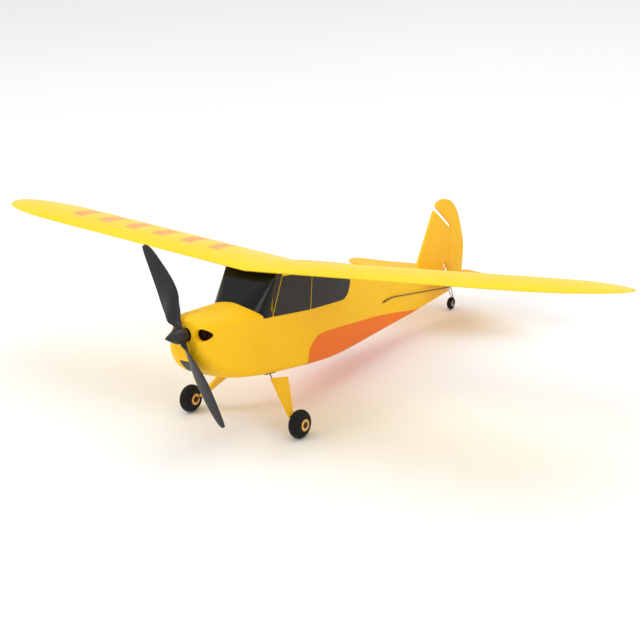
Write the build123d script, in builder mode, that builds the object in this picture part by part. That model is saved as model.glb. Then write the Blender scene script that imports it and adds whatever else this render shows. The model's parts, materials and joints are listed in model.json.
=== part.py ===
from build123d import *
import os
from math import asin, atan2, cos, degrees, hypot, pi, radians, sin, sqrt, tan

# A small foam radio-control airplane: a high-wing taildragger with a geared electric motor in the
# nose. It is modelled in its flying frame, in millimetres: +X to its left (port), +Y towards the
# tail, +Z up, with the centre of the propeller hub at the origin. STANCE then stands it on its
# three wheels, nose up, centred over the origin.

# ---- driving dimensions ----
SPAN = 516.0                 # wing tip to wing tip
CHORD = 75.8                 # wing chord
WING_LE = (62.3, 36.1)       # leading edge at the centre: station, height
INCIDENCE = 2.8              # wing chord line against the thrust line, degrees
DIHEDRAL = 4.2               # each wing panel, degrees
CAMBER = 0.040               # wing section, parts of the chord
CAMBER_AT = 0.40
THICKNESS = 0.069
TRAILING_EDGE = 0.9          # thickness of the wing's trailing edge
TIP_LE_SPAN = 75.0           # length of the tip's leading-edge curve along the span
TIP_TE_SPAN = 45.0           # length of the tip's trailing-edge curve along the span
TIP_POINT = 0.56             # where the tip reaches furthest out, parts of the chord

WALL = 3.0                   # foam wall of the fuselage
FILM = 0.3                   # window and stripe film
TAIL_PLATE = 2.2             # thickness of the tail surfaces
HINGE_GAP = 0.4              # gap in front of a control surface's rounded edge
ELEVATOR_HINGE = (315.0, 8.5)  # station, height
RUDDER_HINGE = 328.0         # station
TAIL_SEAT = 7.4              # height of the flat that carries the stabilizer
TAIL_SEAT_FROM = 276.0

MAIN_WHEEL = (47.6, 68.4, -61.5)
MAIN_TYRE_RADIUS = 9.8
MAIN_TYRE_WIDTH = 9.0
TAIL_WHEEL = (0.0, 337.0, -19.2)
TAIL_TYRE_RADIUS = 5.1
TAIL_TYRE_WIDTH = 3.8
GEAR_WIRE = 0.4              # radius of the main gear's wire
TAIL_WIRE = 0.3              # radius of the tail gear's wire
RUNNING = 0.05               # radial clearance of a wheel or shaft in its bore

PROP_RADIUS = 64.6
PROP_LEAN = -33.0            # blade direction against the vertical, seen from the nose, degrees
PROP_PITCH = 72.0            # advance of the propeller in one turn
SHAFT = 0.75                 # radius of the propeller shaft
MODULE = 0.3                 # gear tooth module
SPUR_TEETH = 64
PINION_TEETH = 9
GEAR_CENTRES = MODULE * (SPUR_TEETH + PINION_TEETH) / 2
MOTOR_RADIUS = 4.25
MOTOR_FRONT = 19.2
MOTOR_LENGTH = 17.5

HATCH_HALF_WIDTH = 10.0
CHIN_HALF_WIDTH = 5.4      # half width of the hatch's front edge
HATCH_FULL_FROM = 24.0       # station from which the hatch is at its full width
HATCH_END = 58.0             # station of the battery hatch's hinge line
HATCH_HINGE = (HATCH_END, -32.3)
HATCH_TOP = -17.8            # height of the hatch's front edge on the chin
HATCH_GAP = 0.3

ROD = 0.4                    # radius of the pushrods
ROD_FRONT = (7.5, 101.0, -20.5)
ROD_EXIT = (15.4, 224.0, 1.2)
ELEVATOR_PIN = (10.4, 315.5, -2.0)
RUDDER_PIN = (9.6, 328.6, -2.9)

MAGNET_STATION = 14.0        # the magnets that hold the hatch's front shut
MAGNET_RADIUS = 1.5

# hull stations: (station, half width, shoulder height, crown height, keel height, corner radius)
COWL = [
    (5.0, 10.5, 2.8, 9.2, -14.0, 8.5),
    (14.0, 17.4, 4.5, 13.1, -24.6, 10.0),
    (23.0, 18.5, 5.3, 13.7, -28.3, 8.6),
    (32.0, 19.3, 5.9, 14.3, -30.2, 7.4),
    (41.0, 20.0, 6.4, 15.0, -31.4, 6.4),
    (50.0, 20.5, 6.8, 15.6, -32.1, 5.6),
    (59.0, 20.9, 7.1, 16.3, -32.5, 5.0),
    (68.0, 21.3, 7.4, 16.9, -32.8, 4.5),
]
CABIN = [
    (68.0, 21.3, -32.8, 4.5),
    (103.0, 22.0, -32.7, 4.0),
    (138.0, 21.2, -31.9, 3.8),
]
TAIL = [
    (138.0, 21.2, 32.8, 34.3, -31.9, 3.8),
    (165.0, 19.6, 29.1, 31.3, -29.3, 3.6),
    (200.0, 16.6, 22.5, 26.0, -24.6, 3.3),
    (240.0, 12.9, 15.3, 19.2, -19.3, 2.8),
    (280.0, 9.1, 8.6, 12.1, -13.9, 2.2),
    (326.6, 4.4, 6.0, 8.0, -7.4, 1.5),
]
ROOF_LIFT = 0.5              # how far the cabin's roof reaches into the wing before it is cut to fit
WINDSCREEN_FOOT = (42.6, 6.9)    # front of the windscreen's foot, extended into the hood
WINDSCREEN_SIDE = (64.4, 6.9)    # its side edge at the foot
WINDSCREEN_TOP = (70.5, 36.3)    # its straight top edge
PILLAR_FOOT = (68.4, 7.4)    # front pillar, bottom and top
PILLAR_TOP = (76.3, 33.1)
PILLAR_WIDTH = 1.1
WINDOW_FOOT = 7.0
WINDOW_HEAD = 33.4
WINDOW_SPLIT = 110.0
WINDOW_END = 159.0

# ---- stance on the wheels ----
wheel_base = TAIL_WHEEL[1] - MAIN_WHEEL[1]
axle_rise = TAIL_WHEEL[2] - MAIN_WHEEL[2]
STANCE_ANGLE = degrees(
    atan2(axle_rise, wheel_base)
    + asin((MAIN_TYRE_RADIUS - TAIL_TYRE_RADIUS) / hypot(wheel_base, axle_rise))
)
SPINNER_TIP = -14.4
RUDDER_END = (349.0, 24.0)   # rearmost point of the rudder when the airplane stands
lean_sin = sin(radians(STANCE_ANGLE))
lean_cos = cos(radians(STANCE_ANGLE))
STANCE = Location(
    (
        0,
        -(SPINNER_TIP * lean_cos + RUDDER_END[0] * lean_cos + RUDDER_END[1] * lean_sin) / 2,
        MAIN_TYRE_RADIUS + MAIN_WHEEL[1] * lean_sin - MAIN_WHEEL[2] * lean_cos,
    ),
    (-STANCE_ANGLE, 0, 0),
)


def save(piece, name):
    """Labels a finished piece, stands it with the airplane and writes it."""
    piece.part.label = name
    export_step(piece.part.moved(STANCE), f"parts/{name}.step")


def along(station):
    """The cross-section plane at a station: its own x is X and its own y is Z."""
    return Plane.XZ.offset(-station)


def chord_line(station):
    """Height of the wing's chord line at the centre of the airplane."""
    return WING_LE[1] - (station - WING_LE[0]) * tan(radians(INCIDENCE))


# ---- wing: one moulded foam piece ----
def section_offsets(s):
    """Upper and lower surface of the wing section above the chord line, parts of the chord."""
    if s < CAMBER_AT:
        mean = CAMBER / CAMBER_AT**2 * (2 * CAMBER_AT * s - s * s)
    else:
        mean = CAMBER / (1 - CAMBER_AT) ** 2 * (1 - 2 * CAMBER_AT + 2 * CAMBER_AT * s - s * s)
    half = 5 * THICKNESS * (
        0.2969 * sqrt(s) - 0.1260 * s - 0.3516 * s**2 + 0.2843 * s**3 - 0.1036 * s**4
    )
    return mean + half, mean - half


def wing_section(span_station):
    """The wing's section at a distance from the centre, placed by dihedral and tip curves."""
    half_span = SPAN / 2
    le_run = max(0.0, (span_station - (half_span - TIP_LE_SPAN)) / TIP_LE_SPAN)
    te_run = max(0.0, (span_station - (half_span - TIP_TE_SPAN)) / TIP_TE_SPAN)
    front = TIP_POINT * CHORD * (1 - sqrt(1 - le_run**2))
    rear = CHORD - (1 - TIP_POINT) * CHORD * (1 - sqrt(1 - te_run**2))
    chord = rear - front
    rise = span_station * tan(radians(DIHEDRAL))
    edge = TRAILING_EDGE / 2 * (0.4 + 0.6 * chord / CHORD)
    drop = tan(radians(INCIDENCE))
    steps = [0.5 - 0.5 * cos(pi * k / 9) for k in range(10)]

    def place(s, t):
        station = WING_LE[0] + front + s * chord
        return (station, WING_LE[1] + rise - (front + s * chord) * drop + t)

    upper = [place(s, section_offsets(s)[0] * chord + edge * s) for s in steps]
    lower = [place(s, section_offsets(s)[1] * chord - edge * s) for s in steps]
    with BuildSketch(Plane.YZ.offset(span_station)) as section:
        with BuildLine():
            top = Spline(*upper, tangents=((0, 1), (1, -0.2)), tangent_scalars=(0.5, 1))
            under = Spline(*lower, tangents=((0, -1), (1, 0)), tangent_scalars=(0.5, 1))
            Line(top @ 1, under @ 1)
        make_face()
    return section.sketch


TIP_STEPS = 8
tip_start = SPAN / 2 - TIP_LE_SPAN
tip_turns = [radians(84 * k / TIP_STEPS) for k in range(TIP_STEPS + 1)]
with BuildPart() as wing:
    loft([wing_section(0), wing_section(tip_start)], ruled=True)
    loft([wing_section(tip_start + TIP_LE_SPAN * sin(turn)) for turn in tip_turns])
    mirror(about=Plane.YZ)
save(wing, "wing")


# ---- fuselage: two hollow foam halves ----
def hull_half(stations, inset=0.0, reach=0.0, grow=0.0):
    """One half of a hull with an arched top. inset makes a hollow; reach passes the centre plane."""
    sections = []
    for station, half_width, shoulder, crown, keel, corner in stations:
        width = half_width - inset + grow
        bottom = keel + inset - grow
        radius = max(corner - inset, 1.0) + grow
        arch = crown - inset + grow
        side = shoulder - inset
        with BuildSketch(along(station)) as section:
            with BuildLine():
                Line((-reach, bottom), (width - radius, bottom))
                CenterArc((width - radius, bottom + radius), radius, 270, 90)
                Line((width, bottom + radius), (width, side))
                EllipticalCenterArc((0, side), width, arch - side)
                if reach:
                    Line((0, arch), (-reach, arch))
                Line((-reach, arch), (-reach, bottom))
            make_face()
        sections.append(section.sketch)
    with BuildPart() as half:
        loft(sections)
    return half.part


def cabin_half(inset=0.0, reach=0.0, grow=0.0, start=0.0, roof_inset=0.0):
    """One half of the cabin: slab sides under a roof that follows the wing's dihedral."""
    slope = tan(radians(DIHEDRAL))
    sections = []
    for station, half_width, keel, corner in CABIN:
        width = half_width - inset + grow
        bottom = keel + inset - grow
        radius = max(corner - inset, 1.0) + grow
        roof = chord_line(station) + ROOF_LIFT - roof_inset
        with BuildSketch(along(station)) as section:
            with BuildLine():
                Line((-reach, bottom), (width - radius, bottom))
                CenterArc((width - radius, bottom + radius), radius, 270, 90)
                Polyline(
                    (width, bottom + radius),
                    (width, roof + width * slope),
                    (-reach, roof - reach * slope),
                    (-reach, bottom),
                )
            make_face()
        sections.append(section.sketch)
    with BuildPart() as half:
        loft(sections)
        with BuildSketch(Plane.YZ.offset(-5)) as front_wedge:
            with BuildLine():
                Polyline(
                    (50, WINDSCREEN_SIDE[1] + 1.5),
                    (WINDSCREEN_SIDE[0] + 1.2 + start, WINDSCREEN_SIDE[1] + 1.5),
                    (WINDSCREEN_TOP[0] + 1.4 + start, WINDSCREEN_TOP[1] + 4),
                    (50, WINDSCREEN_TOP[1] + 4),
                    close=True,
                )
            make_face()
        extrude(amount=40, mode=Mode.SUBTRACT)
    return half.part


def skin_half(grow=0.0):
    """The whole outer shape of one fuselage half."""
    with BuildPart() as half:
        add(hull_half(COWL, grow=grow))
        add(cabin_half(grow=grow))
        add(hull_half(TAIL, grow=grow))
        with BuildSketch(Plane.YZ.offset(-5)):
            with BuildLine():
                Polyline(
                    (TAIL_SEAT_FROM, 40),
                    (TAIL_SEAT_FROM, TAIL_SEAT),
                    (ELEVATOR_HINGE[0] - 0.5, TAIL_SEAT),
                    (ELEVATOR_HINGE[0] + 15.5, TAIL_SEAT - 7.0),
                    (ELEVATOR_HINGE[0] + 15.5, 40),
                    close=True,
                )
            make_face()
        extrude(amount=40, mode=Mode.SUBTRACT)
    return half.part


NOSE_HOLLOW = (9.0, 15.0, 6.0, 12.4, -18.8, 9.0)
cowl_hollow = hull_half([NOSE_HOLLOW] + COWL[2:], inset=WALL, reach=1.0)
cabin_hollow = cabin_half(inset=WALL, reach=1.0, start=WALL, roof_inset=WALL)
tail_hollow = hull_half(TAIL[:5], inset=WALL, reach=1.0)
outer_half = skin_half()

INLET = (12.3, 1.5)          # cooling inlet beside the spinner: distance from the centre, height
SHAFT_HOLE = 5.0
GEAR_PLATE = (18.6, 12.0, 3.3)   # half width, length, thickness
GEAR_STATION = 73.0
GEAR_PLATE_FACE = -33.1



def hatch_plan(gap):
    """The hatch's outline from above, or that of its opening: narrow at the chin, then full width."""
    full = HATCH_HALF_WIDTH + gap
    chin = CHIN_HALF_WIDTH + gap
    points = [(chin, -5.0), (chin, 12.0), (full, HATCH_FULL_FROM), (full, HATCH_END + gap)]
    return Polygon(*points, *[(-x, y) for x, y in reversed(points)], align=None)


with BuildPart() as fuselage_left:
    add(outer_half)
    add(cowl_hollow, mode=Mode.SUBTRACT)
    add(cabin_hollow, mode=Mode.SUBTRACT)
    add(tail_hollow, mode=Mode.SUBTRACT)
    with BuildSketch(along(2)):
        with Locations(INLET):
            Ellipse(4.8, 4.0)
        Circle(SHAFT_HOLE)
    extrude(amount=-14, mode=Mode.SUBTRACT)
    with BuildSketch(Plane.XY.offset(-45)):
        hatch_plan(HATCH_GAP)
        with Locations((0, GEAR_STATION)):
            Rectangle(2 * (GEAR_PLATE[0] + 0.1), GEAR_PLATE[1] + 0.2)
    extrude(amount=45 + HATCH_TOP + HATCH_GAP, mode=Mode.SUBTRACT)
    exit_run = Vector(*ROD_EXIT) - Vector(*ROD_FRONT)
    with BuildSketch(Plane(origin=ROD_EXIT, z_dir=exit_run)):
        Circle(1.4)
    extrude(amount=3, mode=Mode.SUBTRACT)
    with BuildSketch(Plane(origin=ROD_EXIT, z_dir=-exit_run)):
        Circle(1.4)
    extrude(amount=45, mode=Mode.SUBTRACT)
    add(wing.part, mode=Mode.SUBTRACT)
save(fuselage_left, "fuselage_left")

with BuildPart() as fuselage_right:
    mirror(fuselage_left.part, about=Plane.YZ)
save(fuselage_right, "fuselage_right")

# ---- battery hatch: the grey chin and belly panel of the nose, hinged at its rear edge ----
with BuildPart() as battery_hatch:
    add(outer_half)
    add(cowl_hollow, mode=Mode.SUBTRACT)
    with BuildSketch(Plane.XY.offset(-45)):
        hatch_plan(0.0)
    extrude(amount=45 + HATCH_TOP, mode=Mode.INTERSECT)
    mirror(about=Plane.YZ)
    with BuildSketch(Plane.XY.offset(-23.5)):
        with Locations((0, MAGNET_STATION)):
            Circle(2.4)
    extrude(amount=2.6)
    with BuildSketch(Plane.XY.offset(-22.0)):
        with Locations((0, MAGNET_STATION)):
            Circle(MAGNET_RADIUS)
    extrude(amount=2.0, mode=Mode.SUBTRACT)
save(battery_hatch, "battery_hatch")


def disc(radius, bottom, top, station):
    """An upright disc on the centre plane."""
    with BuildPart() as piece:
        with BuildSketch(Plane.XY.offset(bottom)):
            with Locations((0, station)):
                Circle(radius)
        extrude(amount=top - bottom)
    return piece


hatch_magnet = disc(MAGNET_RADIUS, -22.0, -20.7, MAGNET_STATION)
save(hatch_magnet, "hatch_magnet")
nose_magnet = disc(MAGNET_RADIUS, -19.3, -17.6, MAGNET_STATION)
save(nose_magnet, "nose_magnet")


# ---- windscreen, windows and side stripes: thin sheet and film on the foam ----
def side_film(outline, inner):
    """Film of one side: the part of a slightly larger skin that lies inside a side-view outline,
    from the distance inner out."""
    with BuildPart() as film:
        add(grown_half)
        with BuildSketch(Plane.YZ.offset(inner)):
            with BuildLine():
                for edge in outline():
                    add(edge)
            make_face()
        extrude(amount=40, mode=Mode.INTERSECT)
        add(outer_half, mode=Mode.SUBTRACT)
        add(wing.part, mode=Mode.SUBTRACT)
    return film


def pillar_at(height, shift):
    """A point on the front pillar's line at a height, moved aft by shift."""
    slope = (PILLAR_TOP[0] - PILLAR_FOOT[0]) / (PILLAR_TOP[1] - PILLAR_FOOT[1])
    return (PILLAR_FOOT[0] + (height - PILLAR_FOOT[1]) * slope + shift, height)


def front_window_outline():
    with BuildLine(mode=Mode.PRIVATE) as lines:
        FilletPolyline(
            pillar_at(WINDOW_FOOT, PILLAR_WIDTH / 2),
            (WINDOW_SPLIT - PILLAR_WIDTH / 2, WINDOW_FOOT),
            (WINDOW_SPLIT - PILLAR_WIDTH / 2, WINDOW_HEAD),
            pillar_at(WINDOW_HEAD, PILLAR_WIDTH / 2),
            radius=0.8,
            close=True,
        )
    return lines.edges()


def rear_window_outline():
    with BuildLine(mode=Mode.PRIVATE) as lines:
        FilletPolyline(
            (WINDOW_SPLIT + PILLAR_WIDTH / 2, WINDOW_FOOT),
            (WINDOW_END - 3.0, WINDOW_FOOT + 2.0),
            (WINDOW_END, 20.0),
            (WINDOW_END - 2.0, WINDOW_HEAD - 2.2),
            (WINDOW_SPLIT + PILLAR_WIDTH / 2, WINDOW_HEAD),
            radius=(0.6, 10.0, 8.5, 5.5, 0.6),
            close=True,
        )
    return lines.edges()


def stripe_outline():
    with BuildLine(mode=Mode.PRIVATE) as lines:
        front = Line((110.4, -40.0), (110.8, -26.0))
        curve = Spline(
            front @ 1,
            (115.2, -16.8),
            (126.5, -11.8),
            tangents=(front % 1, (1, 0.08)),
        )
        upper = Spline(
            curve @ 1,
            (165.0, -10.6),
            (207.0, -10.7),
            (250.0, -13.2),
            (292.0, -16.0),
            tangents=((1, 0.08), (1, -0.07)),
        )
        Polyline(upper @ 1, (292.0, -40.0), front @ 0)
    return lines.edges()


grown_half = skin_half(grow=FILM)
for name, outline, inner in (
    ("front_window", front_window_outline, 12.0),
    ("rear_window", rear_window_outline, 12.0),
    ("side_stripe", stripe_outline, -1.0),
):
    left_film = side_film(outline, inner)
    save(left_film, f"left_{name}")
    with BuildPart() as right_film:
        mirror(left_film.part, about=Plane.YZ)
    save(right_film, f"right_{name}")


def windscreen_form(shift):
    """The solid under the windscreen: a flat front triangle between two cones that fan out from
    the top corners to the curved foot."""
    side = CABIN[0][1] + FILM
    front = Vector(0, WINDSCREEN_FOOT[0] + shift, WINDSCREEN_FOOT[1])
    foot = Vector(side, WINDSCREEN_SIDE[0] + shift, WINDSCREEN_SIDE[1])
    top = Vector(side, WINDSCREEN_TOP[0] + shift, WINDSCREEN_TOP[1])
    centre = Vector(0, foot.Y, foot.Z)
    crest = Vector(0, top.Y, top.Z)
    with BuildPart() as form:
        with BuildSketch(Plane.XY.offset(front.Z)) as foot_area:
            with BuildLine():
                EllipticalCenterArc((0, foot.Y), side, foot.Y - front.Y, -90)
                Line((side, foot.Y), (0, front.Y))
            make_face()
        loft([foot_area.sketch.face(), Vertex(top.X, top.Y, top.Z)], clean=False)
        corners = [front, foot, centre, top, crest]
        faces = [(0, 1, 2), (0, 3, 1), (0, 4, 3), (0, 2, 4), (1, 3, 4, 2)]
        shell = Shell([Face(Wire.make_polygon([corners[k] for k in f], close=True)) for f in faces])
        add(Solid(shell))
    return form.part


with BuildPart() as windscreen:
    add(windscreen_form(0.0))
    add(windscreen_form(2.2), mode=Mode.SUBTRACT)
    add(outer_half, mode=Mode.SUBTRACT)
    mirror(about=Plane.YZ)
    add(wing.part, mode=Mode.SUBTRACT)
save(windscreen, "windscreen")


def corner_outline():
    """Side-view outline of the black film between the windscreen and the first pillar line."""
    return Polyline(
        (WINDSCREEN_SIDE[0] - 1.0, WINDOW_FOOT),
        pillar_at(WINDOW_FOOT, -PILLAR_WIDTH / 2),
        pillar_at(36.0, -PILLAR_WIDTH / 2),
        (WINDSCREEN_TOP[0] - 1.0, 36.0),
        close=True,
        mode=Mode.PRIVATE,
    ).edges()


left_corner = side_film(corner_outline, 12.0)
with BuildPart() as left_corner_film:
    add(left_corner.part)
    add(windscreen.part, mode=Mode.SUBTRACT)
save(left_corner_film, "left_corner_film")
with BuildPart() as right_corner_film:
    mirror(left_corner_film.part, about=Plane.YZ)
save(right_corner_film, "right_corner_film")


# ---- tail surfaces: flat moulded foam ----
with BuildPart() as stabilizer:
    with BuildSketch(Plane.XY.offset(TAIL_SEAT)):
        with BuildLine():
            root = Line((0, ELEVATOR_HINGE[0] - 1.1 - HINGE_GAP), (0, 275.0))
            lead = Line(root @ 1, (66.0, 295.2))
            tip = Spline(
                lead @ 1,
                (79.0, 301.6),
                (84.4, 309.0),
                (84.9, ELEVATOR_HINGE[0] - 1.1 - HINGE_GAP),
                tangents=(lead % 1, (0, 1)),
            )
            Line(tip @ 1, root @ 0)
        make_face()
        mirror(about=Plane.YZ)
    extrude(amount=TAIL_PLATE)
    outer_edges = stabilizer.edges().filter_by(lambda e: e.center().Y < 313.0)
    fillet(outer_edges.filter_by(lambda e: abs(e.tangent_at(0.5).Z) < 0.1 and e.length > 5), 0.8)
save(stabilizer, "stabilizer")

with BuildPart() as elevator:
    with BuildSketch(Plane.XY.offset(TAIL_SEAT)):
        with BuildLine():
            hinge = Line((0, ELEVATOR_HINGE[0]), (84.9, ELEVATOR_HINGE[0]))
            trail = Spline(
                hinge @ 1,
                (82.4, 320.4),
                (73.5, 322.9),
                (55.0, 325.9),
                (36.8, 331.8),
                (15.5, 341.0),
                tangents=((0, 1), (-1, 0.35)),
            )
            inner = FilletPolyline(trail @ 1, (10.4, 342.4), (3.2, 327.0), (3.2, 320.0), (0, 320.0), radius=1.0)
            Line(inner @ 1, hinge @ 0)
        make_face()
        mirror(about=Plane.YZ)
    extrude(amount=TAIL_PLATE)
    with BuildSketch(Plane.YZ.offset(-84.6)):
        with Locations(ELEVATOR_HINGE):
            Circle(TAIL_PLATE / 2)
    extrude(amount=2 * 84.6)
save(elevator, "elevator")

FIN_FOOT = (276.5, TAIL_SEAT + TAIL_PLATE)
SLOT_OUTER = (300.2, 59.6)   # upper edge of the fin, under the rudder's balance horn
SLOT_INNER = (RUDDER_HINGE - 1.1 - HINGE_GAP, 43.6)
SLOT_GAP = 2.0
with BuildPart() as fin:
    with BuildSketch(Plane.YZ.offset(-TAIL_PLATE / 2)):
        with BuildLine():
            Polyline(
                FIN_FOOT,
                (ELEVATOR_HINGE[0] - 1.8, FIN_FOOT[1]),
                (317.2, 11.4),
                (322.3, 17.0),
                (RUDDER_HINGE - 1.1 - HINGE_GAP, 11.2),
                SLOT_INNER,
                SLOT_OUTER,
                close=True,
            )
        make_face()
        fillet(vertices().sort_by(Axis.Z)[-1], 2.0)
    extrude(amount=TAIL_PLATE)
save(fin, "fin")

RUDDER_FOOT = -6.2
with BuildPart() as rudder:
    with BuildSketch(Plane.YZ.offset(-TAIL_PLATE / 2)):
        with BuildLine():
            post = Line((RUDDER_HINGE, SLOT_INNER[1] + 2.4), (RUDDER_HINGE, RUDDER_FOOT))
            heel = Line(post @ 1, (336.0, RUDDER_FOOT + 0.6))
            curve = Spline(
                heel @ 1,
                (345.5, 1.0),
                (349.0, 12.0),
                tangents=((1, 0.1), (0, 1)),
            )
            trail = Line(curve @ 1, (349.0, 24.0))
            top = Spline(
                trail @ 1,
                (343.8, 42.0),
                (336.0, 56.5),
                (320.5, 67.4),
                (308.0, 67.0),
                (302.6, 62.6),
                tangents=((0, 1), (-0.35, -1)),
            )
            Line(top @ 1, (RUDDER_HINGE - 1.0, SLOT_INNER[1] + 3.4))
            Line((RUDDER_HINGE - 1.0, SLOT_INNER[1] + 3.4), post @ 0)
        make_face()
    extrude(amount=TAIL_PLATE)
    with BuildSketch(Plane.XY.offset(RUDDER_FOOT)):
        with Locations((0, RUDDER_HINGE)):
            Circle(TAIL_PLATE / 2)
    extrude(amount=SLOT_INNER[1] - RUDDER_FOOT)

# ---- tail gear: a bent wire V under the rudder, so that the tail wheel steers with it ----
TAIL_AXLE_BEND = (3.7, TAIL_WHEEL[1], TAIL_WHEEL[2])


def wire(points, radius, bend):
    """Round wire bent through points."""
    with BuildPart() as piece:
        with BuildLine() as route:
            FilletPolyline(*points, radius=bend)
        with BuildSketch(Plane(origin=route.line @ 0, z_dir=route.line % 0)):
            Circle(radius)
        sweep(path=route.line)
    return piece


front_leg = ((-3.7, *TAIL_WHEEL[1:]), TAIL_AXLE_BEND, (0, 330.6, RUDDER_FOOT - 0.6), (0, 330.2, -1.0))
rear_leg = ((3.3, 336.9, -18.0), (0, 335.4, RUDDER_FOOT - 0.4), (0, 335.4, -2.0))
with BuildPart() as tail_gear_wire:
    add(wire(front_leg, TAIL_WIRE, 0.9).part)
    add(wire(rear_leg, TAIL_WIRE, 0.9).part)
save(tail_gear_wire, "tail_gear_wire")

with BuildPart() as rudder_cut:
    add(rudder.part)
    add(tail_gear_wire.part, mode=Mode.SUBTRACT)
save(rudder_cut, "rudder")


def wheel_parts(centre, tyre_radius, width, hub_radius, axle_radius):
    """A soft tyre on a plastic hub, both turning on a fixed axle along X."""
    x, y, z = centre
    half = width / 2
    plane = Plane(origin=centre, x_dir=(1, 0, 0), z_dir=(0, -1, 0))
    with BuildPart() as tyre:
        with BuildSketch(plane):
            with BuildLine():
                tread = Spline(
                    (-half * 0.9, hub_radius),
                    (-half, tyre_radius * 0.58),
                    (-half * 0.62, tyre_radius * 0.9),
                    (0, tyre_radius),
                    (half * 0.62, tyre_radius * 0.9),
                    (half, tyre_radius * 0.58),
                    (half * 0.9, hub_radius),
                )
                Line(tread @ 1, tread @ 0)
            make_face()
        revolve(axis=Axis(centre, (1, 0, 0)))
    with BuildPart() as hub:
        with BuildSketch(plane):
            bore = axle_radius + RUNNING
            with BuildLine():
                Polyline(
                    (-half + 0.5, bore),
                    (-half + 0.5, hub_radius * 0.64),
                    (-half - 0.35, hub_radius * 0.68),
                    (-half - 0.35, hub_radius + 0.3),
                    (-half - 0.05, hub_radius + 0.5),
                    (-half * 0.9, hub_radius),
                    (half * 0.9, hub_radius),
                    (half + 0.05, hub_radius + 0.5),
                    (half + 0.35, hub_radius + 0.3),
                    (half + 0.35, hub_radius * 0.68),
                    (half - 0.5, hub_radius * 0.64),
                    (half - 0.5, bore),
                    close=True,
                )
            make_face()
        revolve(axis=Axis(centre, (1, 0, 0)))
    return tyre, hub


left_tyre, left_hub = wheel_parts(
    MAIN_WHEEL, MAIN_TYRE_RADIUS, MAIN_TYRE_WIDTH, 3.6, GEAR_WIRE
)
save(left_tyre, "left_tyre")
save(left_hub, "left_hub")
with BuildPart() as right_tyre:
    mirror(left_tyre.part, about=Plane.YZ)
save(right_tyre, "right_tyre")
with BuildPart() as right_hub:
    mirror(left_hub.part, about=Plane.YZ)
save(right_hub, "right_hub")
tail_tyre, tail_hub = wheel_parts(TAIL_WHEEL, TAIL_TYRE_RADIUS, TAIL_TYRE_WIDTH, 2.2, TAIL_WIRE)
save(tail_tyre, "tail_tyre")
save(tail_hub, "tail_hub")


def collar(centre, radius, length, bore):
    """A cap pressed onto a wire axle, along X from centre."""
    with BuildPart() as piece:
        with BuildSketch(Plane.YZ.offset(centre[0])):
            with Locations((centre[1], centre[2])):
                Circle(radius)
                Circle(bore, mode=Mode.SUBTRACT)
        extrude(amount=length)
    return piece


with BuildPart() as wheel_collars:
    add(collar((MAIN_WHEEL[0] + 4.15, *MAIN_WHEEL[1:]), 1.9, 0.9, GEAR_WIRE).part)
    add(collar((MAIN_WHEEL[0] - 5.05, *MAIN_WHEEL[1:]), 1.9, 0.9, GEAR_WIRE).part)
    mirror(about=Plane.YZ)
save(wheel_collars, "wheel_collars")
tail_collar = collar((-3.5, *TAIL_WHEEL[1:]), 0.9, 1.0, TAIL_WIRE)
save(tail_collar, "tail_collar")

# ---- main gear: one bent wire in a belly plate, with a foam fairing on each leg ----
AXLE_END = (MAIN_WHEEL[0] + 5.4, *MAIN_WHEEL[1:])
AXLE_BEND = (MAIN_WHEEL[0] - 6.0, *MAIN_WHEEL[1:])
LEG_TOP = (15.8, GEAR_STATION, -31.0)


def mirrored(point):
    """The same point on the other side."""
    return (-point[0], point[1], point[2])


gear_route = (AXLE_END, AXLE_BEND, LEG_TOP, mirrored(LEG_TOP), mirrored(AXLE_BEND), mirrored(AXLE_END))
main_gear_wire = wire(gear_route, GEAR_WIRE, 1.6)
save(main_gear_wire, "main_gear_wire")

with BuildPart() as gear_mount_plate:
    with BuildSketch(Plane.XY.offset(GEAR_PLATE_FACE)):
        with Locations((0, GEAR_STATION)):
            RectangleRounded(2 * GEAR_PLATE[0], GEAR_PLATE[1], 1.5)
    extrude(amount=GEAR_PLATE[2])
    add(main_gear_wire.part, mode=Mode.SUBTRACT)
save(gear_mount_plate, "gear_mount_plate")

leg = Vector(*AXLE_BEND) - Vector(*LEG_TOP)
fairing_plane = Plane(
    origin=LEG_TOP, x_dir=leg, z_dir=leg.cross(Vector(0, 1, 0))
)
with BuildPart() as left_gear_fairing:
    with BuildSketch(fairing_plane.offset(-0.9)):
        with BuildLine():
            Polyline((6.6, -1.0), (6.6, 15.6), (35.0, 3.6), (36.0, 2.4), (36.0, -1.0), close=True)
        make_face()
    extrude(amount=1.8)
    with BuildSketch(Plane(origin=LEG_TOP, z_dir=leg)):
        Circle(GEAR_WIRE)
    extrude(amount=60, mode=Mode.SUBTRACT)
save(left_gear_fairing, "left_gear_fairing")
with BuildPart() as right_gear_fairing:
    mirror(left_gear_fairing.part, about=Plane.YZ)
save(right_gear_fairing, "right_gear_fairing")

# ---- propeller, spinner and shaft ----
# blade sections: (radius, chord, thickness, set back from the hub's centre)
BLADE = [
    (3.0, 5.6, 2.6, 0.4),
    (10.0, 7.6, 2.2, 0.5),
    (17.0, 10.6, 1.9, 0.9),
    (24.0, 12.7, 1.7, 2.0),
    (31.0, 13.3, 1.5, 2.9),
    (38.0, 12.6, 1.35, 3.3),
    (45.0, 11.2, 1.2, 3.4),
    (52.0, 9.4, 1.1, 3.4),
    (59.0, 7.2, 1.0, 3.4),
    (PROP_RADIUS, 3.0, 0.8, 3.4),
]


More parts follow.
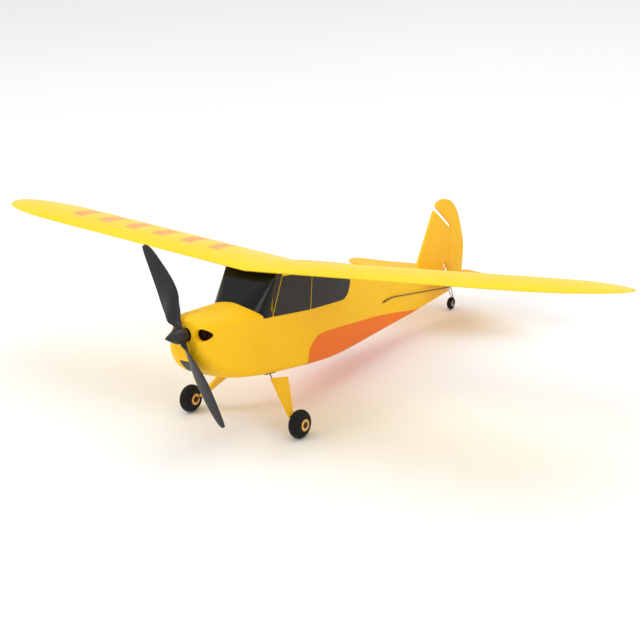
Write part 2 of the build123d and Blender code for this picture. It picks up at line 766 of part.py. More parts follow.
def blade_section(radius, chord, thickness, set_back):
    """One blade section, turned to the blade's pitch at its radius and swept towards its back."""
    pitch = degrees(atan2(PROP_PITCH, 2 * pi * radius)) if radius > 5 else 60.0
    sweep_back = (chord - 6.0) * 0.28
    across = Vector(cos(radians(pitch)), sin(radians(pitch)), 0)
    middle = across * sweep_back + Vector(0, set_back, radius)
    plane = Plane(origin=middle, x_dir=across, z_dir=(0, 0, 1))
    with BuildSketch(plane) as section:
        Ellipse(chord / 2, thickness / 2)
    return section.sketch


with BuildPart() as blade:
    loft([blade_section(*row) for row in BLADE])

HUB_RADIUS = 5.0
with BuildPart() as propeller:
    add(blade.part)
    add(blade.part.rotate(Axis.Y, 180))
    with BuildSketch(along(-3.0)):
        Circle(HUB_RADIUS)
    extrude(amount=-6.0)
    with BuildSketch(along(-5.0)):
        Circle(SHAFT)
    extrude(amount=-10.0, mode=Mode.SUBTRACT)
with BuildPart() as leaned_propeller:
    add(propeller.part.rotate(Axis.Y, PROP_LEAN))
save(leaned_propeller, "propeller")

with BuildPart() as spinner:
    with BuildSketch(Plane.XY):
        with BuildLine():
            nose = Spline(
                (0, SPINNER_TIP),
                (2.7, -8.9),
                (HUB_RADIUS, -3.05),
                tangents=((0.7, 1), (0.25, 1)),
            )
            Polyline(nose @ 1, (SHAFT, -3.05), (SHAFT, -8.0), (0, -8.0), nose @ 0)
        make_face()
    revolve(axis=Axis.Y)
save(spinner, "spinner")

SHAFT_ENDS = (-7.8, 18.9)
with BuildPart() as prop_shaft:
    with BuildSketch(along(SHAFT_ENDS[0])):
        Circle(SHAFT)
    extrude(amount=SHAFT_ENDS[0] - SHAFT_ENDS[1])
    chamfer(prop_shaft.edges().filter_by(GeomType.CIRCLE), 0.15)
save(prop_shaft, "prop_shaft")


def ring(name, front, rear, outer, bore, height=0.0):
    """A round piece on an axis along Y at a height below or above the shaft line."""
    with BuildPart() as piece:
        with BuildSketch(along(front)):
            with Locations((0, height)):
                Circle(outer)
                Circle(bore, mode=Mode.SUBTRACT)
        extrude(amount=front - rear)
    save(piece, name)
    return piece


ring("shaft_collar", 3.9, 6.0, 1.9, SHAFT)
BUSH_RADIUS = 1.75
with BuildPart() as shaft_bushes:
    for front in (6.6, 12.2):
        with BuildSketch(along(front)):
            Circle(BUSH_RADIUS)
            Circle(SHAFT + RUNNING, mode=Mode.SUBTRACT)
        extrude(amount=-1.8)
save(shaft_bushes, "shaft_bushes")


# ---- reduction gear ----
def gear_wheel(teeth, addendum, dedendum, tooth_at_pitch, tip_share, phase):
    """A toothed disc's outline: flat-sided teeth that narrow towards their tips."""
    pitch_radius = MODULE * teeth / 2
    root = pitch_radius - dedendum
    tip = pitch_radius + addendum
    with BuildSketch() as outline:
        Circle(root)
        with PolarLocations(0, teeth, start_angle=phase):
            Polygon(
                (root - 0.1, tooth_at_pitch * 0.62),
                (root - 0.1, -tooth_at_pitch * 0.62),
                (tip, -tooth_at_pitch * tip_share),
                (tip, tooth_at_pitch * tip_share),
                align=None,
            )
    return outline.sketch


GEAR_FRONT = 14.8
SPUR_WIDTH = 1.8
BACKLASH = 0.14
tooth = pi * MODULE / 2 - BACKLASH
with BuildPart() as spur_gear:
    with BuildSketch(along(GEAR_FRONT)):
        add(gear_wheel(SPUR_TEETH, 0.15, 0.375, tooth, 0.36, 90 + 180 / SPUR_TEETH))
        Circle(SHAFT, mode=Mode.SUBTRACT)
        with PolarLocations(5.6, 5):
            Circle(1.9, mode=Mode.SUBTRACT)
    extrude(amount=-SPUR_WIDTH)
    with BuildSketch(along(GEAR_FRONT + SPUR_WIDTH)):
        Circle(2.6)
        Circle(SHAFT, mode=Mode.SUBTRACT)
    extrude(amount=-1.6)
save(spur_gear, "spur_gear")

MOTOR_SHAFT = 0.4
with BuildPart() as motor_pinion:
    with BuildSketch(along(GEAR_FRONT - 0.3)):
        with Locations((0, -GEAR_CENTRES)):
            add(gear_wheel(PINION_TEETH, 0.3, 0.3, tooth, 0.2, 90))
            Circle(MOTOR_SHAFT, mode=Mode.SUBTRACT)
    extrude(amount=-(SPUR_WIDTH + 0.6))
save(motor_pinion, "motor_pinion")

# ---- motor ----
MOTOR_REAR = MOTOR_FRONT + MOTOR_LENGTH
with BuildPart() as motor_armature:
    with BuildSketch(along(GEAR_FRONT - 0.4)):
        with Locations((0, -GEAR_CENTRES)):
            Circle(MOTOR_SHAFT)
    extrude(amount=-(MOTOR_REAR + 1.0 - GEAR_FRONT + 0.4))
    with BuildSketch(along(MOTOR_FRONT + 2.5)):
        with Locations((0, -GEAR_CENTRES)):
            Circle(3.3)
    extrude(amount=-12.5)
save(motor_armature, "motor_armature")

with BuildPart() as motor_can:
    with BuildSketch(along(MOTOR_FRONT)):
        with Locations((0, -GEAR_CENTRES)):
            Circle(MOTOR_RADIUS)
    extrude(amount=-MOTOR_LENGTH)
    fillet(motor_can.edges().sort_by(Axis.Y)[0], 0.6)
    with BuildSketch(along(MOTOR_FRONT + 1.0)):
        with Locations((0, -GEAR_CENTRES)):
            Circle(MOTOR_RADIUS - 0.4)
    extrude(amount=-MOTOR_LENGTH, mode=Mode.SUBTRACT)
    with BuildSketch(along(MOTOR_FRONT - 1)):
        with Locations((0, -GEAR_CENTRES)):
            Circle(MOTOR_SHAFT + RUNNING)
    extrude(amount=-3, mode=Mode.SUBTRACT)
save(motor_can, "motor_can")

with BuildPart() as motor_end_cap:
    with BuildSketch(along(MOTOR_REAR)):
        with Locations((0, -GEAR_CENTRES)):
            Circle(MOTOR_RADIUS)
    extrude(amount=-2.0)
    fillet(motor_end_cap.edges().sort_by(Axis.Y)[-1], 0.5)
    with BuildSketch(along(MOTOR_REAR - 0.5)):
        with Locations((0, -GEAR_CENTRES)):
            Circle(MOTOR_SHAFT + RUNNING)
    extrude(amount=-1.8, mode=Mode.SUBTRACT)
save(motor_end_cap, "motor_end_cap")

# ---- gearbox frame, firewall and screws ----
CLAMP = (19.5, 28.5, 5.3)    # front, rear and outer radius of the motor clamp
EAR_FACE = 20.9
FIREWALL = (21.0, 1.2)       # station and thickness
SCREW_SPREAD = 8.5
with BuildPart() as gearbox_frame:
    with BuildSketch(along(6.6)):
        Circle(2.8)
    extrude(amount=-7.4)
    with BuildSketch(along(11.8)):
        with BuildLine():
            FilletPolyline((-3, -17.6), (3, -17.6), (3.6, 0), (2, 3.4), (-2, 3.4), (-3.6, 0), radius=1, close=True)
        make_face()
    extrude(amount=-2.2)
    with BuildSketch(along(11.8)):
        with Locations((0, -16.8)):
            Rectangle(6, 1.6)
    extrude(amount=11.8 - CLAMP[1])
    with BuildSketch(along(CLAMP[0])):
        with Locations((0, -GEAR_CENTRES)):
            Circle(CLAMP[2])
    extrude(amount=CLAMP[0] - CLAMP[1])
    with BuildSketch(along(CLAMP[0])):
        with Locations((0, -GEAR_CENTRES)):
            RectangleRounded(2 * SCREW_SPREAD + 4.4, 5.0, 1.5)
    extrude(amount=CLAMP[0] - EAR_FACE)
    with BuildSketch(along(CLAMP[0] - 1)):
        with Locations((0, -GEAR_CENTRES)):
            Circle(MOTOR_RADIUS)
        with Locations((-SCREW_SPREAD, -GEAR_CENTRES), (SCREW_SPREAD, -GEAR_CENTRES)):
            Circle(0.6)
    extrude(amount=-12, mode=Mode.SUBTRACT)
    with BuildSketch(along(5)):
        Circle(BUSH_RADIUS)
    extrude(amount=-10, mode=Mode.SUBTRACT)
save(gearbox_frame, "gearbox_frame")

with BuildPart() as firewall:
    add(cowl_hollow)
    mirror(about=Plane.YZ)
    with BuildSketch(along(FIREWALL[0])):
        with Locations((0, 1)):
            Rectangle(60, 36)
        with Locations((0, -GEAR_CENTRES)):
            Circle(CLAMP[2] + 0.2, mode=Mode.SUBTRACT)
            RectangleRounded(7, 14, 1, mode=Mode.SUBTRACT)
        with Locations((-SCREW_SPREAD, -GEAR_CENTRES), (SCREW_SPREAD, -GEAR_CENTRES)):
            Circle(0.6, mode=Mode.SUBTRACT)
        with Locations((0, 4)):
            SlotOverall(14, 6, mode=Mode.SUBTRACT)
    extrude(amount=-FIREWALL[1], mode=Mode.INTERSECT)
save(firewall, "firewall")

with BuildPart() as gearbox_screws:
    for x in (-SCREW_SPREAD, SCREW_SPREAD):
        with BuildSketch(along(CLAMP[0] - 1.0)):
            with Locations((x, -GEAR_CENTRES)):
                Circle(1.2)
        extrude(amount=-1.0)
        with BuildSketch(along(CLAMP[0])):
            with Locations((x, -GEAR_CENTRES)):
                Circle(0.6)
        extrude(amount=-4.5)
    with Locations(Plane(origin=(-SCREW_SPREAD, CLAMP[0] - 1.0, -GEAR_CENTRES), z_dir=(0, -1, 0))):
        Box(1.6, 0.3, 0.8, mode=Mode.SUBTRACT)
    with Locations(Plane(origin=(SCREW_SPREAD, CLAMP[0] - 1.0, -GEAR_CENTRES), z_dir=(0, -1, 0))):
        Box(1.6, 0.3, 0.8, mode=Mode.SUBTRACT)
save(gearbox_screws, "gearbox_screws")

# ---- battery under a tray ----
TRAY = (25.0, 57.5, -19.6, 1.2)  # front, rear, underside, thickness
with BuildPart() as battery_tray:
    add(cowl_hollow)
    mirror(about=Plane.YZ)
    with BuildSketch(Plane.XY.offset(TRAY[2])):
        with Locations((0, (TRAY[0] + TRAY[1]) / 2)):
            Rectangle(60, TRAY[1] - TRAY[0])
    extrude(amount=TRAY[3], mode=Mode.INTERSECT)
save(battery_tray, "battery_tray")

BATTERY = (11.4, 28.0, 5.6)
battery_middle = (TRAY[0] + TRAY[1]) / 2
with BuildPart() as battery_pad:
    with BuildSketch(Plane.XY.offset(TRAY[2] - 1.0)):
        with Locations((0, battery_middle)):
            RectangleRounded(9, 24, 1)
    extrude(amount=1.0)
save(battery_pad, "battery_pad")
with BuildPart() as battery:
    with BuildSketch(Plane.XY.offset(TRAY[2] - 1.0)):
        with Locations((0, battery_middle)):
            RectangleRounded(BATTERY[0], BATTERY[1], 1.5)
    extrude(amount=-BATTERY[2])
    fillet(battery.faces().sort_by(Axis.Z)[0].edges(), 1.2)
save(battery, "battery")

# ---- receiver board and the two linear servos on the cabin floor ----
FLOOR = -28.8
BOARD = (24.0, 34.0, 0.9)
BOARD_STATION = 98.0
BOARD_FACE = FLOOR + 2.2
with BuildPart() as board_tape:
    with BuildSketch(Plane.XY.offset(FLOOR)):
        with Locations((0, BOARD_STATION)):
            Rectangle(14, 24)
    extrude(amount=BOARD_FACE - FLOOR)
save(board_tape, "board_tape")
with BuildPart() as receiver_board:
    with BuildSketch(Plane.XY.offset(BOARD_FACE)):
        with Locations((0, BOARD_STATION)):
            RectangleRounded(BOARD[0], BOARD[1], 1)
    extrude(amount=BOARD[2])
    with BuildSketch(Plane.XY.offset(BOARD_FACE + BOARD[2])):
        with Locations((0, BOARD_STATION - 9)):
            Rectangle(4.4, 4.4)
        with Locations((0, BOARD_STATION + 1)):
            Rectangle(3.2, 5.0)
        with Locations((0, BOARD_STATION + 9)):
            Rectangle(4.0, 3.0)
    extrude(amount=1.0)
save(receiver_board, "receiver_board")

SERVO_X = 7.5                # the servos' distance from the centre
SERVO_FACE = BOARD_FACE + BOARD[2]
SLIDER_STATION = 99.0


def servo(side):
    """A tiny linear servo: an open frame, its motor, and the sliding block that drives a rod."""
    x = side * SERVO_X
    with BuildPart() as frame:
        with BuildSketch(Plane.XY.offset(SERVO_FACE)):
            with Locations((x, BOARD_STATION + 1)):
                Rectangle(7.0, 22.0)
        extrude(amount=4.2)
        with BuildSketch(Plane.XY.offset(SERVO_FACE + 1.0)):
            with Locations((x, SLIDER_STATION)):
                Rectangle(5.4, 14.6)
        extrude(amount=6, mode=Mode.SUBTRACT)
    with BuildPart() as motor:
        with BuildSketch(along(BOARD_STATION - 19.0)):
            with Locations((x, SERVO_FACE + 2.1)):
                Circle(2.0)
        extrude(amount=-9.0)
    with BuildPart() as slider:
        with BuildSketch(Plane.XY.offset(SERVO_FACE + 1.4)):
            with Locations((x, SLIDER_STATION)):
                Rectangle(4.4, 5.6)
        extrude(amount=5.6)
    return frame, motor, slider


def rod(pin_bend, pin_end, side):
    """A pushrod: from the slider through the fuselage side, then straight to its horn's pin."""
    front = (side * ROD_FRONT[0], *ROD_FRONT[1:])
    corner = (side * ROD_EXIT[0], *ROD_EXIT[1:])
    with BuildPart() as piece:
        with BuildLine() as route:
            FilletPolyline(front, corner, pin_bend, pin_end, radius=(60.0, 0.8))
        with BuildSketch(Plane(origin=route.line @ 0, z_dir=route.line % 0)):
            Circle(ROD)
        sweep(path=route.line)
    return piece


elevator_rod = rod(ELEVATOR_PIN, (7.3, *ELEVATOR_PIN[1:]), 1)
rudder_rod = rod(mirrored(RUDDER_PIN), (-RUDDER_PIN[0], RUDDER_PIN[1], 0.6), -1)
save(elevator_rod, "elevator_pushrod")
save(rudder_rod, "rudder_pushrod")
for side, prefix, rod_piece in ((1, "left", elevator_rod), (-1, "right", rudder_rod)):
    frame, motor, slider = servo(side)
    save(frame, f"{prefix}_servo_frame")
    save(motor, f"{prefix}_servo_motor")
    with BuildPart() as drilled_slider:
        add(slider.part)
        add(rod_piece.part, mode=Mode.SUBTRACT)
    save(drilled_slider, f"{prefix}_servo_slider")

# ---- control horns: clear plastic, with a slot that gives the rod's pin its clearance ----
HORN = 1.0
with BuildPart() as elevator_horn:
    with BuildSketch(Plane.YZ.offset(8.3)):
        with BuildLine():
            FilletPolyline(
                (ELEVATOR_PIN[1] + 0.3, TAIL_SEAT),
                (ELEVATOR_PIN[1] - 1.7, ELEVATOR_PIN[2] - 1.6),
                (ELEVATOR_PIN[1] - 0.8, ELEVATOR_PIN[2] - 2.6),
                (ELEVATOR_PIN[1] + 1.6, ELEVATOR_PIN[2] - 2.2),
                (ELEVATOR_PIN[1] + 8.0, TAIL_SEAT),
                radius=(0.8, 0.8, 0.8, 0, 0),
                close=True,
            )
        make_face()
        with Locations((ELEVATOR_PIN[1], ELEVATOR_PIN[2] - 0.4)):
            SlotOverall(2.4, 2 * ROD + 0.7, rotation=90, mode=Mode.SUBTRACT)
    extrude(amount=HORN)
save(elevator_horn, "elevator_horn")

with BuildPart() as rudder_horn:
    with BuildSketch(Plane.XY.offset(-1.6)):
        with BuildLine():
            FilletPolyline(
                (-TAIL_PLATE / 2, RUDDER_HINGE + 3.0),
                (-8.0, RUDDER_PIN[1] - 1.6),
                (-12.2, RUDDER_PIN[1] - 1.2),
                (-12.0, RUDDER_PIN[1] + 1.5),
                (-TAIL_PLATE / 2, RUDDER_HINGE + 9.5),
                radius=(0, 0.6, 0.8, 0.8, 0),
                close=True,
            )
        make_face()
        with Locations((-RUDDER_PIN[0] - 0.35, RUDDER_PIN[1])):
            SlotOverall(2.3, 2 * ROD + 0.7, mode=Mode.SUBTRACT)
    extrude(amount=HORN)
save(rudder_horn, "rudder_horn")
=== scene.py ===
import json
import math
import bpy
from mathutils import Matrix, Vector

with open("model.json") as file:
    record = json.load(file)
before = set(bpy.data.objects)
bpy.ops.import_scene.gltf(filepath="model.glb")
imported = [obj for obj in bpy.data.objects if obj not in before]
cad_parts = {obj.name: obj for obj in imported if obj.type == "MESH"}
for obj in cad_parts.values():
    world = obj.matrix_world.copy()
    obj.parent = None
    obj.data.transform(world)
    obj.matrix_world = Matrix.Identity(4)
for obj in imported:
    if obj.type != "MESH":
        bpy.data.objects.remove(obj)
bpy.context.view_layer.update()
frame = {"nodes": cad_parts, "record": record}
nodes = frame["nodes"]
scene = bpy.context.scene

# ---- camera: the photograph's viewing angle, round the airplane as it stands on its wheels ----
CAMERA_AZIMUTH = 37.03
CAMERA_ELEVATION = 19.05
CAMERA_ROLL = -3.33
CAMERA_DISTANCE = 0.9718
CAMERA_TARGET = Vector((0.0500, -0.0844, 0.0752))
CAMERA_LENS = 82.7           # mm on a 36 mm sensor

azimuth = math.radians(CAMERA_AZIMUTH)
elevation = math.radians(CAMERA_ELEVATION)
towards_camera = Vector((
    math.sin(azimuth) * math.cos(elevation),
    -math.cos(azimuth) * math.cos(elevation),
    math.sin(elevation),
))
camera = bpy.data.objects.new("camera", bpy.data.cameras.new("camera"))
scene.collection.objects.link(camera)
level_view = towards_camera.to_track_quat("Z", "Y").to_matrix()
roll = Matrix.Rotation(math.radians(CAMERA_ROLL), 3, "Z")
camera.matrix_world = (
    Matrix.Translation(CAMERA_TARGET + towards_camera * CAMERA_DISTANCE)
    @ (level_view @ roll).to_4x4()
)
camera.data.lens = CAMERA_LENS
camera.data.sensor_width = 36.0
camera.data.clip_start = 0.01
camera.data.clip_end = 50.0
scene.camera = camera


# ---- node helpers: every texture is in the object's own coordinates, in metres ----
def start(name, roughness=0.5, metallic=0.0, coat=0.0, sheen=0.0, specular=0.5):
    """A new material with its shader and the object coordinates."""
    material = bpy.data.materials.new(name)
    material.use_nodes = True
    tree = material.node_tree
    shader = tree.nodes["Principled BSDF"]
    shader.inputs["Roughness"].default_value = roughness
    shader.inputs["Metallic"].default_value = metallic
    shader.inputs["Coat Weight"].default_value = coat
    shader.inputs["Coat Roughness"].default_value = 0.25
    shader.inputs["Sheen Weight"].default_value = sheen
    shader.inputs["Specular IOR Level"].default_value = specular
    coords = tree.nodes.new("ShaderNodeTexCoord")
    return material, tree, shader, coords.outputs["Object"]


def noise(tree, vector, scale, detail=3.0, stretch=None):
    """Soft noise; stretch scales the coordinates first, for grain that runs one way."""
    if stretch:
        mapping = tree.nodes.new("ShaderNodeMapping")
        mapping.inputs["Scale"].default_value = stretch
        tree.links.new(vector, mapping.inputs["Vector"])
        vector = mapping.outputs["Vector"]
    node = tree.nodes.new("ShaderNodeTexNoise")
    node.inputs["Scale"].default_value = scale
    node.inputs["Detail"].default_value = detail
    tree.links.new(vector, node.inputs["Vector"])
    return node.outputs["Fac"]


def cells(tree, vector, scale, feature="F1"):
    """Distance field of rounded cells, such as foam beads."""
    node = tree.nodes.new("ShaderNodeTexVoronoi")
    node.feature = feature
    node.inputs["Scale"].default_value = scale
    tree.links.new(vector, node.inputs["Vector"])
    return node.outputs["Distance"]


def ramp(tree, factor, stops):
    """Colours by factor: stops are (position, colour)."""
    node = tree.nodes.new("ShaderNodeValToRGB")
    elements = node.color_ramp.elements
    while len(elements) < len(stops):
        elements.new(0.5)
    for element, (position, colour) in zip(elements, stops):
        element.position = position
        element.color = (*colour, 1.0)
    tree.links.new(factor, node.inputs["Fac"])
    return node.outputs["Color"]


def remap(tree, value, from_low, from_high, low, high, smooth=False):
    """value moved from one range to another, held inside it."""
    node = tree.nodes.new("ShaderNodeMapRange")
    node.interpolation_type = "SMOOTHSTEP" if smooth else "LINEAR"
    for name, number in (
        ("From Min", from_low),
        ("From Max", from_high),
        ("To Min", low),
        ("To Max", high),
    ):
        node.inputs[name].default_value = number
    tree.links.new(value, node.inputs["Value"])
    return node.outputs["Result"]


def maths(tree, operation, first, second=None):
    """One arithmetic step on sockets or numbers."""
    node = tree.nodes.new("ShaderNodeMath")
    node.operation = operation
    for socket, value in zip(node.inputs, (first, second)):
        if value is None:
            continue
        if isinstance(value, (int, float)):
            socket.default_value = value
        else:
            tree.links.new(value, socket)
    return node.outputs["Value"]


def mix(tree, factor, first, second):
    """Mixes two colours; each may be a socket or a colour, and factor a socket or a number."""
    node = tree.nodes.new("ShaderNodeMix")
    node.data_type = "RGBA"
    colour_factor, colour_a, colour_b = node.inputs[0], node.inputs[6], node.inputs[7]
    for socket, value in ((colour_factor, factor), (colour_a, first), (colour_b, second)):
        if isinstance(value, (int, float)):
            socket.default_value = value
        elif isinstance(value, tuple):
            socket.default_value = (*value, 1.0)
        else:
            tree.links.new(value, socket)
    return node.outputs[2]


def bump(tree, height, distance, strength=1.0, below=None):
    """Surface relief of a height field, in metres, on top of another relief."""
    node = tree.nodes.new("ShaderNodeBump")
    node.inputs["Distance"].default_value = distance
    node.inputs["Strength"].default_value = strength
    tree.links.new(height, node.inputs["Height"])
    if below is not None:
        tree.links.new(below, node.inputs["Normal"])
    return node.outputs["Normal"]


def axes(tree, vector):
    """The x, y and z sockets of a vector."""
    node = tree.nodes.new("ShaderNodeSeparateXYZ")
    tree.links.new(vector, node.inputs["Vector"])
    return node.outputs["X"], node.outputs["Y"], node.outputs["Z"]


def band(tree, value, low, high, soft):
    """1 between low and high, with soft edges."""
    rise = remap(tree, value, low - soft, low + soft, 0.0, 1.0, smooth=True)
    fall = remap(tree, value, high - soft, high + soft, 1.0, 0.0, smooth=True)
    return maths(tree, "MULTIPLY", rise, fall)


# ---- foam: fused beads under thin paint, a little uneven and handled ----
BEAD_SCALE = 330.0           # beads per metre: about 3 mm each


def foam(name, light, dark, seam, roughness=(0.42, 0.6)):
    """Moulded bead foam: bead outlines in relief and colour, cloudy paint and soft sheen."""
    material, tree, shader, place = start(name, specular=0.22)
    clouds = noise(tree, place, 16.0, 4.0)
    colour = ramp(tree, clouds, [(0.32, dark), (0.68, light)])
    edges = cells(tree, place, BEAD_SCALE, "DISTANCE_TO_EDGE")
    outline = remap(tree, edges, 0.0, 0.09, 0.16, 0.0, smooth=True)
    colour = mix(tree, outline, colour, seam)
    marks = remap(tree, noise(tree, place, 90.0, 6.0), 0.66, 0.74, 0.0, 0.12, smooth=True)
    colour = mix(tree, marks, colour, seam)
    tree.links.new(colour, shader.inputs["Base Color"])
    rough = remap(tree, noise(tree, place, 120.0, 4.0), 0.3, 0.7, *roughness)
    tree.links.new(rough, shader.inputs["Roughness"])
    relief = bump(tree, remap(tree, edges, 0.0, 0.12, 0.0, 1.0, smooth=True), 0.00006)
    relief = bump(tree, noise(tree, place, 900.0, 3.0), 0.00004, below=relief)
    tree.links.new(relief, shader.inputs["Normal"])
    return material, tree, shader, place, colour


def plain_foam(*args, **more):
    """A foam material without decoration."""
    return foam(*args, **more)[0]


yellow_foam = plain_foam(
    "yellow_foam", (0.96, 0.565, 0.006), (0.92, 0.50, 0.004), (0.78, 0.35, 0.002)
)
grey_foam = plain_foam(
    "grey_foam", (0.075, 0.075, 0.08), (0.045, 0.045, 0.05), (0.02, 0.02, 0.02)
)

# the wing: lighter yellow, with a painted highlight that pales the up-facing top towards the rear,
# and a row of plain slanted bars on the right panel's top
wing_foam, tree, shader, place, colour = foam(
    "wing_foam", (0.92, 0.69, 0.020), (0.89, 0.645, 0.014), (0.81, 0.52, 0.008)
)
BAR_PITCH = 0.026            # along the span, in metres
BAR_START = 0.08             # where a bar starts, as a share of the pitch
BAR_SHARE = 0.42             # its width, as a share of the pitch
BAR_SLANT = 0.35
BAR_ROW = (-0.2185, -0.066)  # the row's ends along the span
BAR_DEPTH = (-0.079, -0.045) # front and rear ends of the bars
BAR_EDGE = 0.0002            # softness of the row's edges
x, y, _ = axes(tree, place)
geometry = tree.nodes.new("ShaderNodeNewGeometry")
up = axes(tree, geometry.outputs["Normal"])[2]
slanted = maths(tree, "ADD", maths(tree, "MULTIPLY", y, BAR_SLANT), x)
phase = maths(tree, "FRACT", maths(tree, "DIVIDE", slanted, BAR_PITCH))
bars = band(tree, phase, BAR_START, BAR_START + BAR_SHARE, 0.02)
bars = maths(tree, "MULTIPLY", bars, band(tree, slanted, *BAR_ROW, BAR_EDGE))
bars = maths(tree, "MULTIPLY", bars, band(tree, y, *BAR_DEPTH, BAR_EDGE))
bars = maths(tree, "MULTIPLY", bars, remap(tree, up, 0.0, 0.2, 0.0, 1.0))
worn = remap(tree, noise(tree, place, 260.0, 5.0), 0.35, 0.6, 0.75, 1.0)
bars = maths(tree, "MULTIPLY", bars, worn)
# painted highlight: up-facing wing top turns paler towards the rear, where light falls on it
painted_top_highlight = maths(
    tree,
    "MULTIPLY",
    remap(tree, y, -0.095, -0.045, 0.0, 0.45, smooth=True),
    remap(tree, up, 0.3, 0.95, 0.0, 1.0),
)
colour = mix(tree, painted_top_highlight, colour, (0.93, 0.76, 0.20))
colour = mix(tree, bars, colour, (0.90, 0.40, 0.14))
tree.links.new(colour, shader.inputs["Base Color"])


# ---- film: thin printed sheet that lets the foam's relief through ----
def film(name, light, dark, roughness, coat):
    """Printed film with a faint relief of the foam below and rubbed streaks."""
    material, tree, shader, place = start(name, roughness=roughness, coat=coat, specular=0.2)
    streaks = noise(tree, place, 55.0, 4.0, stretch=(1.0, 0.35, 1.0))
    colour = ramp(tree, streaks, [(0.3, dark), (0.7, light)])
    dust = remap(tree, noise(tree, place, 1400.0, 2.0), 0.70, 0.76, 0.0, 0.10)
    colour = mix(tree, dust, colour, (0.30, 0.30, 0.30))
    tree.links.new(colour, shader.inputs["Base Color"])
    rough = remap(tree, streaks, 0.3, 0.7, roughness - 0.07, roughness + 0.08)
    tree.links.new(rough, shader.inputs["Roughness"])
    edges = cells(tree, place, BEAD_SCALE, "DISTANCE_TO_EDGE")
    relief = bump(tree, remap(tree, edges, 0.0, 0.2, 0.0, 1.0, smooth=True), 0.00002)
    tree.links.new(relief, shader.inputs["Normal"])
    return material


black_film = film("black_film", (0.026, 0.025, 0.022), (0.017, 0.016, 0.014), 0.42, 0.0)
screen_film = film("screen_film", (0.004, 0.004, 0.0035), (0.002, 0.002, 0.002), 0.13, 0.1)
orange_film = film("orange_film", (0.88, 0.19, 0.010), (0.82, 0.155, 0.007), 0.5, 0.0)


# ---- plastics, rubber, wire and metals ----
PLASTIC_GRAIN = 1680.0


def plastic(name, light, dark, roughness, coat=0.0, stretch=None, depth=0.00002):
    """Moulded plastic: faint flow colour, fine grain and uneven gloss."""
    material, tree, shader, place = start(name, roughness=roughness, coat=coat, specular=0.4)
    flow = noise(tree, place, 60.0, 4.0, stretch=stretch)
    colour = ramp(tree, flow, [(0.3, dark), (0.7, light)])
    tree.links.new(colour, shader.inputs["Base Color"])
    patches = noise(tree, place, 180.0, 5.0)
    rough = remap(tree, patches, 0.3, 0.7, roughness - 0.06, roughness + 0.1)
    tree.links.new(rough, shader.inputs["Roughness"])
    relief = bump(tree, noise(tree, place, PLASTIC_GRAIN, 3.0), depth)
    tree.links.new(relief, shader.inputs["Normal"])
    return material


black_plastic = plastic("black_plastic", (0.013, 0.0135, 0.014), (0.007, 0.007, 0.0075), 0.36, coat=0.05)
# spur gear dark red-brown: a guessed gear colour that also paints the shade of the orange foam inside
# the nose inlet
gear_and_inlet_shade = plastic("gear_and_inlet_shade", (0.10, 0.020, 0.010), (0.05, 0.010, 0.006), 0.5)
tan_plastic = plastic("tan_plastic", (0.85, 0.47, 0.13), (0.74, 0.38, 0.09), 0.42)
grey_plastic = plastic("grey_plastic", (0.38, 0.37, 0.35), (0.28, 0.27, 0.26), 0.45)
white_plastic = plastic("white_plastic", (0.85, 0.85, 0.83), (0.74, 0.74, 0.72), 0.35)
battery_wrap = plastic("battery_wrap", (0.62, 0.64, 0.68), (0.5, 0.52, 0.56), 0.3, coat=0.3)
circuit_board = plastic("circuit_board", (0.02, 0.20, 0.07), (0.01, 0.13, 0.05), 0.35, coat=0.4)
foam_tape = plastic("foam_tape", (0.16, 0.16, 0.16), (0.10, 0.10, 0.10), 0.8, depth=0.00008)
plywood = plastic(
    "plywood", (0.62, 0.42, 0.22), (0.42, 0.26, 0.12), 0.6, stretch=(0.4, 4.0, 4.0), depth=0.00005
)


def tyre_rubber():
    """Foam rubber tread: matte, pitted, with patches of dust."""
    material, tree, shader, place = start("tyre_rubber", roughness=0.78, sheen=0.02, specular=0.2)
    pits = cells(tree, place, 2200.0)
    tones = [(0.35, (0.007, 0.007, 0.006)), (0.7, (0.015, 0.0145, 0.013))]
    colour = ramp(tree, noise(tree, place, 140.0, 5.0), tones)
    dust = remap(tree, noise(tree, place, 320.0, 6.0), 0.58, 0.72, 0.0, 0.35, smooth=True)
    colour = mix(tree, dust, colour, (0.04, 0.037, 0.033))
    tree.links.new(colour, shader.inputs["Base Color"])
    relief = bump(tree, pits, 0.00008, 0.8)
    relief = bump(tree, noise(tree, place, 700.0, 4.0), 0.00006, below=relief)
    tree.links.new(relief, shader.inputs["Normal"])
    return material


def metal(name, light, dark, roughness, stretch=(1.0, 1.0, 1.0)):
    """Drawn or ground metal: streaks in colour and gloss."""
    material, tree, shader, place = start(name, roughness=roughness, metallic=1.0)
    streaks = noise(tree, place, 600.0, 4.0, stretch=stretch)
    tree.links.new(ramp(tree, streaks, [(0.3, dark), (0.7, light)]), shader.inputs["Base Color"])
    rough = remap(tree, streaks, 0.3, 0.7, roughness - 0.08, roughness + 0.12)
    tree.links.new(rough, shader.inputs["Roughness"])
    tree.links.new(bump(tree, streaks, 0.00001), shader.inputs["Normal"])
    return material


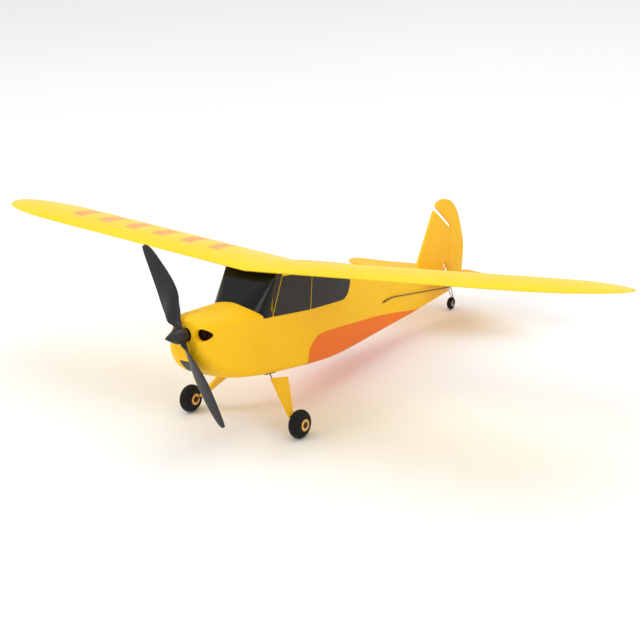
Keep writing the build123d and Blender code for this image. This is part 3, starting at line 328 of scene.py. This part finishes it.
# by the slot that the CAD part names
finishes = {
    "wing_foam": wing_foam,
    "yellow_foam": yellow_foam,
    "grey_foam": grey_foam,
    "black_film": black_film,
    "orange_film": orange_film,
    "black_plastic": black_plastic,
    "tyre_rubber": tyre_rubber(),
    "tan_plastic": tan_plastic,
    "grey_plastic": grey_plastic,
    "white_plastic": white_plastic,
    "steel": metal("steel", (0.66, 0.66, 0.66), (0.5, 0.5, 0.5), 0.32),
    "black_wire": metal(
        "black_wire", (0.10, 0.09, 0.08), (0.05, 0.045, 0.04), 0.4, stretch=(1, 0.1, 1)
    ),
    "brass": metal("brass", (0.83, 0.62, 0.28), (0.70, 0.50, 0.20), 0.3),
    "magnet": metal("magnet", (0.70, 0.70, 0.70), (0.58, 0.58, 0.58), 0.2),
    "plywood": plywood,
    "foam_tape": foam_tape,
    "battery_wrap": battery_wrap,
    "circuit_board": circuit_board,
}
# pieces that look unlike the rest of their slot; the spur gear's colour also paints shade inside the
# nose inlet
own_finishes = {"windscreen": screen_film, "spur_gear": gear_and_inlet_shade}
for part in frame["record"]["subparts"]:
    finish = own_finishes.get(part["node"], finishes[part["material_slot"]])
    for material_slot in nodes[part["node"]].material_slots:
        material_slot.material = finish


# ---- floor and soft studio light ----
FLOOR_REACH = 12.0
WORLD_STRENGTH = 0.84
MIDDLE = (0.0, -0.03, 0.08)  # what the lights face


def pale_floor():
    """A wide pale floor that meets a white background."""
    mesh = bpy.data.meshes.new("floor")
    reach = FLOOR_REACH
    corners = [(-reach, -reach, 0), (reach, -reach, 0), (reach, reach, 0), (-reach, reach, 0)]
    mesh.from_pydata(corners, [], [(0, 1, 2, 3)])
    floor = bpy.data.objects.new("floor", mesh)
    scene.collection.objects.link(floor)
    material, tree, shader, place = start("floor", roughness=0.9, specular=0.1)
    tones = [(0.3, (0.93, 0.93, 0.93)), (0.7, (0.95, 0.95, 0.95))]
    colour = ramp(tree, noise(tree, place, 2.0), tones)
    tree.links.new(colour, shader.inputs["Base Color"])
    mesh.materials.append(material)


def soft_light(name, place, width, power):
    """A square white softbox that faces the airplane."""
    lamp = bpy.data.lights.new(name, "AREA")
    lamp.size = width
    lamp.energy = power
    holder = bpy.data.objects.new(name, lamp)
    holder.location = place
    holder.rotation_mode = "QUATERNION"
    holder.rotation_quaternion = (Vector(place) - Vector(MIDDLE)).to_track_quat("Z", "Y")
    scene.collection.objects.link(holder)


pale_floor()
soft_light("key", (-1.1, -1.4, 1.5), 0.9, 12.5)
soft_light("side", (1.8, -0.6, 0.9), 0.7, 4.0)
soft_light("top", (0.2, 0.6, 2.0), 1.6, 8.5)
world = bpy.data.worlds.new("world")
world.use_nodes = True
background = world.node_tree.nodes["Background"]
background.inputs["Color"].default_value = (1.0, 1.0, 1.0, 1.0)
background.inputs["Strength"].default_value = WORLD_STRENGTH
scene.world = world
scene.view_settings.view_transform = "Standard"
